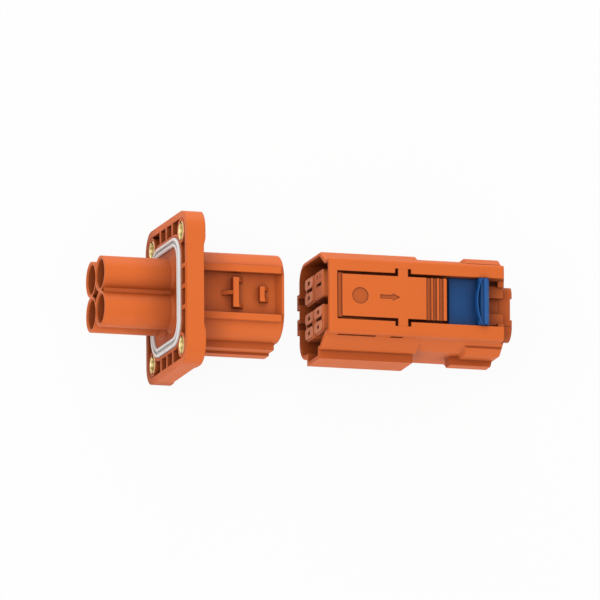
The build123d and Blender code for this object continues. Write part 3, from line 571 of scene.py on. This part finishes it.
receptacleLow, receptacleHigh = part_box("receptacle_housing")
webSizes = {
    "Tube end": receptacleLow.x,
    "Tube height": poleZs[-1],
    "Tube radius": 0.0079,
    "Lift": 0.35,  # over the tubes' axes, as a share of their radius
    "Inset": 0.0006,
    "Width": 0.0026,
    "Height": 0.0024,
}


def webShape(tree, given):  # webs in the valleys between the cable tubes, above and below
    length = -given["Tube end"] - given["Inset"]
    web = box(tree, length, given["Width"], given["Height"])
    height = given["Tube height"] + given["Lift"] * given["Tube radius"]
    return joined(tree, [shifted(tree, web, length * -0.5, 0.0, place) for place in (height, -height)])


grow("tube_webs", webSizes, webShape, finishes["orangeNylon"], "receptacle", [])

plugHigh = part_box("plug_housing")[1]
stopSizes = {
    "Tower end": plugHigh.x,
    "Inset": 0.0003,
    "Length": 0.0028,
    "Width": 0.0026,
    "Height": 0.0030,
    "Side": 0.0094,
    "Middle height": 0.0186,
}


def stopShape(tree, given):  # stops at the tower's end, which keep the slider in
    stop = box(tree, given["Length"], given["Width"], given["Height"])
    middle = given["Tower end"] - given["Inset"] - given["Length"] * 0.5
    sides = (-given["Side"], given["Side"])
    return joined(tree, [shifted(tree, stop, middle, side, given["Middle height"]) for side in sides])


grow("slider_stops", stopSizes, stopShape, finishes["orangeNylon"], "plug", [])

rimSizes = {
    "Shroud end": receptacleHigh.x,
    "Inset": 0.00015,
    "Foot": 0.0042,
    "Crest": 0.0010,
    "Half width": 0.0092,
    "Bottom": 0.0152,
    "Top": 0.0187,
}


def rimShape(tree, given):  # the sloped rim that closes the latch track at the shroud's end
    height = given["Top"] - given["Bottom"]
    section = plant(tree, "GeometryNodeCurvePrimitiveQuadrilateral", {"mode": "TRAPEZOID"}, {
        "Bottom Width": given["Foot"], "Top Width": given["Crest"], "Height": height,
        "Offset": (given["Foot"] - given["Crest"]) * 0.5,
    })
    bar = thickened(tree, filled(tree, section), given["Half width"] * 2.0)
    middle = given["Shroud end"] - given["Inset"] - given["Foot"] * 0.5
    lift = given["Bottom"] + height * 0.5
    return shifted(tree, bar, middle, given["Half width"], lift, (math.pi / 2, 0, 0))


grow("track_rim", rimSizes, rimShape, finishes["orangeNylon"], "receptacle", [])

noseSizes = {
    "Hook end": leverLow.x,
    "Lever top": leverHigh.z,
    "Reach": 0.0018,
    "Overlap": 0.0003,
    "Drop": 0.0005,
    "Half width": 0.0098,
    "Height": 0.0022,
}


def noseShape(tree, given):  # the lowered nose at the lever's hook end
    top = given["Lever top"] - given["Drop"]
    low = [given["Hook end"] - given["Reach"], -given["Half width"], top - given["Height"]]
    return block(tree, low, [given["Hook end"] + given["Overlap"], given["Half width"], top])


grow("lever_nose", noseSizes, noseShape, finishes["orangeLever"], "latch_lever", [])

roofSizes = {
    "Slider end": sliderHigh.x,
    "Gap": 0.0013,
    "Tower end": plugHigh.x,
    "Inset": 0.0002,
    "Inner side": 0.0035,
    "Outer side": 0.0087,
    "Bottom": 0.0150,
    "Top": 0.0184,
}


def roofShape(tree, given):  # raised blocks on the roof's end, with the slider's channel between them
    start = given["Slider end"] + given["Gap"]
    end = given["Tower end"] - given["Inset"]
    sides = [(given["Inner side"], given["Outer side"]), (-given["Outer side"], -given["Inner side"])]
    blocks = []
    for near, far in sides:
        blocks.append(block(tree, [start, near, given["Bottom"]], [end, far, given["Top"]]))
    return joined(tree, blocks)


grow("roof_blocks", roofSizes, roofShape, finishes["orangeNylon"], "plug", [])

collarSizes = {
    "Side": poleYs[0],
    "Up": poleZs[-1],
    "Inner radius": 0.00375,
    "Outer radius": 0.0059,
    "Round steps": 24,
    "Cap end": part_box("rear_cap")[1].x,
    "Plug end": plugHigh.x,
    "Overlap": 0.0020,
}


def collarShape(tree, given):  # half collars round the cable holes on one side of the rear cap
    wall = given["Outer radius"] - given["Inner radius"]
    middle = given["Inner radius"] + wall * 0.5
    start = given["Plug end"] - given["Overlap"]
    length = given["Cap end"] - start
    path = arc(tree, middle, math.pi / 2, math.pi, given["Round steps"])
    collar = raised(tree, sweep(tree, path, oblong(tree, wall, length)), length * 0.5)
    heights = (-given["Up"], given["Up"])
    collars = [shifted(tree, collar, given["Side"], height, 0.0) for height in heights]
    return stood(tree, joined(tree, collars), start)


grow("cap_collars", collarSizes, collarShape, finishes["orangeNylon"], "plug", [])
print("small pieces made")

studio = {
    "floorSize": 6.0,
    "floorGap": 0.0005,
    "floorPale": (0.92, 0.92, 0.92, 1),
    "floorGlow": 0.93,
    "viewSize": 0.26087,
    "viewDistance": 1.2,
    "target": (0.06, 0.0, 0.0),
    "nudge": (0.000413, 0.002017),
    "right": (0.9608, -0.0055, 0.2773),
    "up": (-0.0499, 0.9801, 0.1920),
    "ambient": 0.60,
    "lamps": [  # name, place, size and power
        ("sideLampLow", (0.10, -0.75, 0.22), 0.5, 0.7),
        ("sideLampHigh", (0.02, 0.75, 0.22), 0.5, 2.0),
        ("topLamp", (-0.35, -0.1, 0.8), 0.5, 2.5),
    ],
}
white = (1, 1, 1, 1)
scene.view_settings.view_transform = "Standard"
right = Vector(studio["right"]).normalized()
back = right.cross(Vector(studio["up"])).normalized()
up = back.cross(right)
centre = Vector(studio["target"]) + right * studio["nudge"][0] + up * studio["nudge"][1]
lens = bpy.data.cameras.new("camera")
lens.type = "ORTHO"
lens.ortho_scale = studio["viewSize"]
camera = bpy.data.objects.new("camera", lens)
scene.collection.objects.link(camera)
turn = Matrix((right, up, back)).transposed().to_4x4()
camera.matrix_world = Matrix.Translation(centre + back * studio["viewDistance"]) @ turn
scene.camera = camera

floorMesh = bpy.data.meshes.new("floor")
half = studio["floorSize"] / 2
level = cadBox[0].z - studio["floorGap"]
corners = [(-half, -half, level), (half, -half, level), (half, half, level), (-half, half, level)]
floorMesh.from_pydata(corners, [], [(0, 1, 2, 3)])
floor = bpy.data.objects.new("floor", floorMesh)
scene.collection.objects.link(floor)
pale = Finish("paleFloor")
pale.dress({"Base Color": studio["floorPale"], "Roughness": 0.9, "Specular IOR Level": 0.0})
lit = Wire(pale.tree, pale.shader.outputs[0])
seen = pale.node("ShaderNodeLightPath", {}, {}, "Is Camera Ray")
glow = pale.node("ShaderNodeEmission", {}, {"Color": white, "Strength": 1.0})
mixed = pale.node("ShaderNodeMixShader", {}, {0: seen * studio["floorGlow"], 1: lit, 2: glow})
feed(pale.tree, pale.tree.nodes["Material Output"], {0: mixed})
floorMesh.materials.append(pale.material)

world = bpy.data.worlds.new("studioLight")
scene.world = world
world.use_nodes = True
air = world.node_tree
outlets = ("Is Camera Ray", "Is Glossy Ray", "Is Transmission Ray")
rays = [plant(air, "ShaderNodeLightPath", {}, {}, outlet) for outlet in outlets]
shown = rays[0]
for ray in rays[1:]:
    shown = shown.maths("MAXIMUM", shown, ray)
strength = plant(air, "ShaderNodeMapRange", {}, {"Value": shown, "To Min": studio["ambient"]})
feed(air, air.nodes["Background"], {0: white, 1: strength})

for name, place, size, power in studio["lamps"]:
    lamp = bpy.data.lights.new(name, "AREA")
    lamp.size = size
    lamp.energy = power
    stand = bpy.data.objects.new(name, lamp)
    scene.collection.objects.link(stand)
    stand.location = place
    stand.rotation_euler = (Vector(studio["target"]) - Vector(place)).to_track_quat("-Z", "Y").to_euler()
print("studio set")
